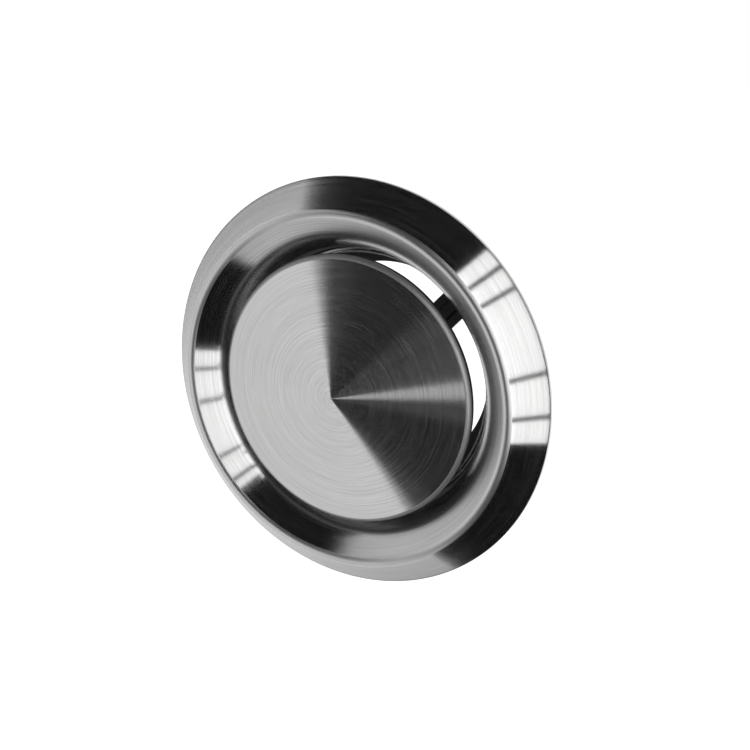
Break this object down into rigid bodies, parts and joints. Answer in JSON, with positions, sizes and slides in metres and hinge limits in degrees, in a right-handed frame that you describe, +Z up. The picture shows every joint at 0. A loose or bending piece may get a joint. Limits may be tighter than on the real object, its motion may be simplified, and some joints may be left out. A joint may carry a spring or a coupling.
{
  "type": "extract air valve",
  "caption": "Round extract air valve: brushed flared ring with a bellmouth throat and a shallow conical disc that screws in and out on a spindle to set the air gap.",
  "frame": {"origin": "centre of the valve's rear plane, where the flange meets the wall's face", "axes": "+Y along the valve's axis into the duct, so the room is at -Y; +Z up on a wall"},
  "size_m": [0.138, 0.0626, 0.138],
  "materials": {
    "stainless": "spun stainless sheet, brushed in circles",
    "black_coat": "black coating, low gloss",
    "zinc_steel": "bright zinc-plated steel",
    "spring_steel": "rolled spring strip",
    "foam": "closed-cell foam"
  },
  "bodies": {
    "housing": {"front_ring": "stainless", "neck_collar": "black_coat", "flange_gasket": "foam", "bridge_bar": "black_coat", "bridge_nut": "zinc_steel", "bridge_rivet_1": "zinc_steel", "bridge_rivet_2": "zinc_steel", "spring_clip_1": "spring_steel", "spring_clip_2": "spring_steel", "spring_clip_3": "spring_steel", "clip_rivet_1": "zinc_steel", "clip_rivet_2": "zinc_steel", "clip_rivet_3": "zinc_steel"},
    "stop_clip": {"spindle_stop": "spring_steel"},
    "disc": {"valve_disc": "stainless", "disc_hub": "zinc_steel", "spindle": "zinc_steel"},
    "washer": {"lock_washer": "zinc_steel"},
    "nut": {"lock_nut": "zinc_steel"}
  },
  "joints": [
    {"name": "stop_travel", "type": "slide", "parent": "housing", "child": "stop_clip", "axis": [0, -1, 0], "range_m": [-0.00901, 0.01201]},
    {"name": "disc_turn", "type": "hinge", "parent": "stop_clip", "child": "disc", "pos_m": [0, 0, 0], "axis": [0, -1, 0], "range_deg": [-3240, 4320]},
    {"name": "washer_travel", "type": "slide", "parent": "housing", "child": "washer", "axis": [0, -1, 0], "range_m": [0, 0.017]},
    {"name": "lock_nut_turn", "type": "hinge", "parent": "washer", "child": "nut", "pos_m": [0, 0, 0], "axis": [0, -1, 0], "range_deg": [0, 6121]}
  ],
  "couplings": [
    {"joint": "stop_travel", "follows": "disc_turn", "m_per_rad": 0.00015915},
    {"joint": "lock_nut_turn", "follows": "washer_travel", "rad_per_m": 6283.2}
  ]
}
